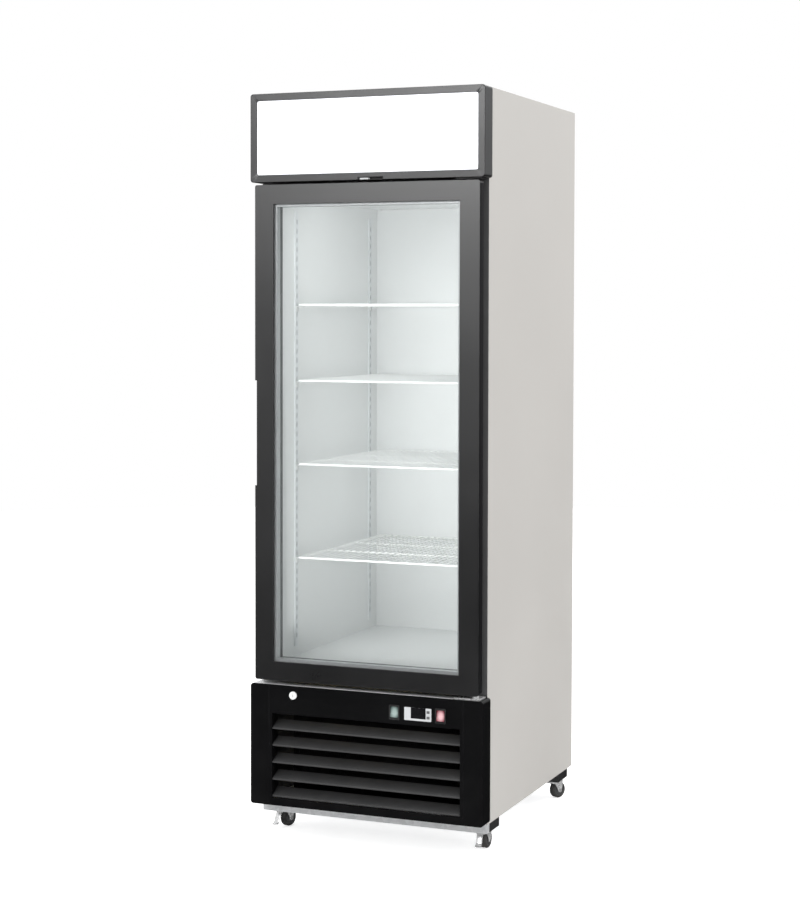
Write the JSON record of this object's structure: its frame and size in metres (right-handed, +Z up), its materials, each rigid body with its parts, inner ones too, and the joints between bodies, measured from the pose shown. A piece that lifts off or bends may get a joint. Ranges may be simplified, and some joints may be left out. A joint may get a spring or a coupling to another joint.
{
  "type": "glass door merchandiser",
  "caption": "Upright glass door merchandiser on casters, with a lit sign box, wire shelves, a louvred lower panel, rocker switches and a temperature controller.",
  "frame": {"origin": "on the floor at the middle of the footprint", "axes": "+Z up, the door faces -Y, +X to the right of someone facing the door"},
  "size_m": [0.686, 0.816, 2.054],
  "materials": {
    "grey_steel": "satin",
    "galvanised": "satin",
    "collar_grey": "satin",
    "foam": "matte",
    "white_liner": "satin",
    "black_steel": "satin",
    "copper_fins": "satin",
    "fan_grey": "matte",
    "aluminium_fins": "satin",
    "shelf_white": "satin",
    "clip_steel": "satin",
    "lamp_lens": "satin",
    "sign_frame": "satin",
    "sign_light": "satin",
    "black_plastic": "gloss",
    "latch_silver": "satin",
    "door_grey": "satin",
    "glass": "gloss",
    "gasket_black": "matte",
    "panel_black": "satin",
    "blade_grey": "satin",
    "lock_chrome": "polished",
    "red_switch": "gloss",
    "pale_switch": "gloss",
    "controller_silver": "satin",
    "key_grey": "satin",
    "caster_chrome": "polished",
    "wheel_black": "matte"
  },
  "bodies": {
    "cabinet": {"left_side_panel": "grey_steel", "right_side_panel": "grey_steel", "back_panel": "grey_steel", "top_panel": "grey_steel", "rear_grille": "galvanised", "front_collar": "collar_grey", "foam_insulation": "foam", "inner_liner": "white_liner", "base_pan": "galvanised", "caster_channels": "black_steel", "compressor": "black_steel", "condenser_coil": "copper_fins", "fan_shroud": "galvanised", "fan_motors": "black_steel", "drain_pan": "galvanised", "evaporator_coil": "aluminium_fins", "evaporator_cover": "white_liner", "shelf_pilasters": "shelf_white", "shelf_clips": "clip_steel", "interior_lamp": "lamp_lens", "lower_hinge_bracket": "galvanised", "upper_hinge_bracket": "galvanised", "sign_housing": "sign_frame", "sign_panel": "sign_light", "sign_lamp": "lamp_lens", "latch_track": "black_plastic", "grille_frame": "panel_black", "louvre_blades": "blade_grey", "lock_body": "lock_chrome", "switch_bezels": "black_plastic", "controller_case": "controller_silver", "controller_window": "black_plastic", "power_inlet": "black_plastic", "caster_plates": "caster_chrome"},
    "door": {"door_frame": "door_grey", "glass_panes": "glass", "glass_spacer": "aluminium_fins", "door_gasket": "gasket_black"},
    "lock_plug": {"lock_cylinder": "lock_chrome"},
    "latch": {"sign_latch": "latch_silver"},
    "power_switch": {"power_rocker": "red_switch"},
    "light_switch": {"light_rocker": "pale_switch"},
    "key_up": {"controller_key_up": "key_grey"},
    "key_down": {"controller_key_down": "key_grey"},
    "evaporator_fan_body": {"evaporator_fan": "fan_grey"},
    "condenser_fan_body": {"condenser_fan": "fan_grey"},
    "shelf_body_1": {"shelf_1": "shelf_white"},
    "shelf_body_2": {"shelf_2": "shelf_white"},
    "shelf_body_3": {"shelf_3": "shelf_white"},
    "shelf_body_4": {"shelf_4": "shelf_white"},
    "fork_1": {"caster_fork_1": "caster_chrome"},
    "wheel_1": {"caster_wheel_1": "wheel_black"},
    "fork_2": {"caster_fork_2": "caster_chrome"},
    "wheel_2": {"caster_wheel_2": "wheel_black"},
    "fork_3": {"caster_fork_3": "caster_chrome"},
    "wheel_3": {"caster_wheel_3": "wheel_black"},
    "fork_4": {"caster_fork_4": "caster_chrome"},
    "wheel_4": {"caster_wheel_4": "wheel_black"},
    "pedal_1": {"brake_pedal_1": "caster_chrome"},
    "pedal_2": {"brake_pedal_2": "caster_chrome"}
  },
  "joints": [
    {"name": "door_hinge", "type": "hinge", "parent": "cabinet", "child": "door", "pos_m": [0.314, -0.382, 1.1225], "axis": [0, 0, 1], "range_deg": [0, 120]},
    {"name": "lock_turn", "type": "hinge", "parent": "cabinet", "child": "lock_plug", "pos_m": [-0.212, -0.394, 0.4025], "axis": [0, -1, 0], "range_deg": [0, 90]},
    {"name": "latch_slide", "type": "slide", "parent": "cabinet", "child": "latch", "axis": [1, 0, 0], "range_m": [0, 0.038]},
    {"name": "power_switch_tilt", "type": "hinge", "parent": "cabinet", "child": "power_switch", "pos_m": [0.2225, -0.398, 0.38], "axis": [1, 0, 0], "range_deg": [0, 14]},
    {"name": "light_switch_tilt", "type": "hinge", "parent": "cabinet", "child": "light_switch", "pos_m": [0.089, -0.398, 0.38], "axis": [1, 0, 0], "range_deg": [0, 14]},
    {"name": "key_up_press", "type": "slide", "parent": "cabinet", "child": "key_up", "axis": [0, 1, 0], "range_m": [0, 0.0008], "stiffness_N_per_m": 1500, "springref_m": -0.0004},
    {"name": "key_down_press", "type": "slide", "parent": "cabinet", "child": "key_down", "axis": [0, 1, 0], "range_m": [0, 0.0008], "stiffness_N_per_m": 1500, "springref_m": -0.0004},
    {"name": "evaporator_fan_spin", "type": "hinge", "parent": "cabinet", "child": "evaporator_fan_body", "pos_m": [0, -0.144, 1.79], "axis": [0, 0, 1], "continuous": true},
    {"name": "condenser_fan_spin", "type": "hinge", "parent": "cabinet", "child": "condenser_fan_body", "pos_m": [-0.05, -0.205, 0.215], "axis": [0, 1, 0], "continuous": true},
    {"name": "shelf_lift_1", "type": "slide", "parent": "cabinet", "child": "shelf_body_1", "axis": [0, 0, 1], "range_m": [0, 0.012]},
    {"name": "shelf_lift_2", "type": "slide", "parent": "cabinet", "child": "shelf_body_2", "axis": [0, 0, 1], "range_m": [0, 0.012]},
    {"name": "shelf_lift_3", "type": "slide", "parent": "cabinet", "child": "shelf_body_3", "axis": [0, 0, 1], "range_m": [0, 0.012]},
    {"name": "shelf_lift_4", "type": "slide", "parent": "cabinet", "child": "shelf_body_4", "axis": [0, 0, 1], "range_m": [0, 0.012]},
    {"name": "caster_swivel_1", "type": "hinge", "parent": "cabinet", "child": "fork_1", "pos_m": [-0.3, -0.286, 0.053], "axis": [0, 0, 1], "continuous": true},
    {"name": "wheel_roll_1", "type": "hinge", "parent": "fork_1", "child": "wheel_1", "pos_m": [-0.29431, -0.26475, 0.0245], "axis": [-0.9659, 0.2588, 0], "continuous": true},
    {"name": "brake_pedal_1", "type": "hinge", "parent": "fork_1", "child": "pedal_1", "pos_m": [-0.30414, -0.30145, 0.047], "axis": [0.9659, -0.2588, 0], "range_deg": [0, 12]},
    {"name": "caster_swivel_2", "type": "hinge", "parent": "cabinet", "child": "fork_2", "pos_m": [0.3, -0.286, 0.053], "axis": [0, 0, 1], "continuous": true},
    {"name": "wheel_roll_2", "type": "hinge", "parent": "fork_2", "child": "wheel_2", "pos_m": [0.30077, -0.26401, 0.0245], "axis": [-0.9994, 0.0349, 0], "continuous": true},
    {"name": "brake_pedal_2", "type": "hinge", "parent": "fork_2", "child": "pedal_2", "pos_m": [0.29944, -0.30199, 0.047], "axis": [0.9994, -0.0349, 0], "range_deg": [0, 12]},
    {"name": "caster_swivel_3", "type": "hinge", "parent": "cabinet", "child": "fork_3", "pos_m": [-0.3, 0.321, 0.053], "axis": [0, 0, 1], "continuous": true},
    {"name": "wheel_roll_3", "type": "hinge", "parent": "fork_3", "child": "wheel_3", "pos_m": [-0.28315, 0.33514, 0.0245], "axis": [-0.6428, 0.766, 0], "continuous": true},
    {"name": "caster_swivel_4", "type": "hinge", "parent": "cabinet", "child": "fork_4", "pos_m": [0.3, 0.321, 0.053], "axis": [0, 0, 1], "continuous": true},
    {"name": "wheel_roll_4", "type": "hinge", "parent": "fork_4", "child": "wheel_4", "pos_m": [0.311, 0.34005, 0.0245], "axis": [-0.866, 0.5, 0], "continuous": true}
  ]
}
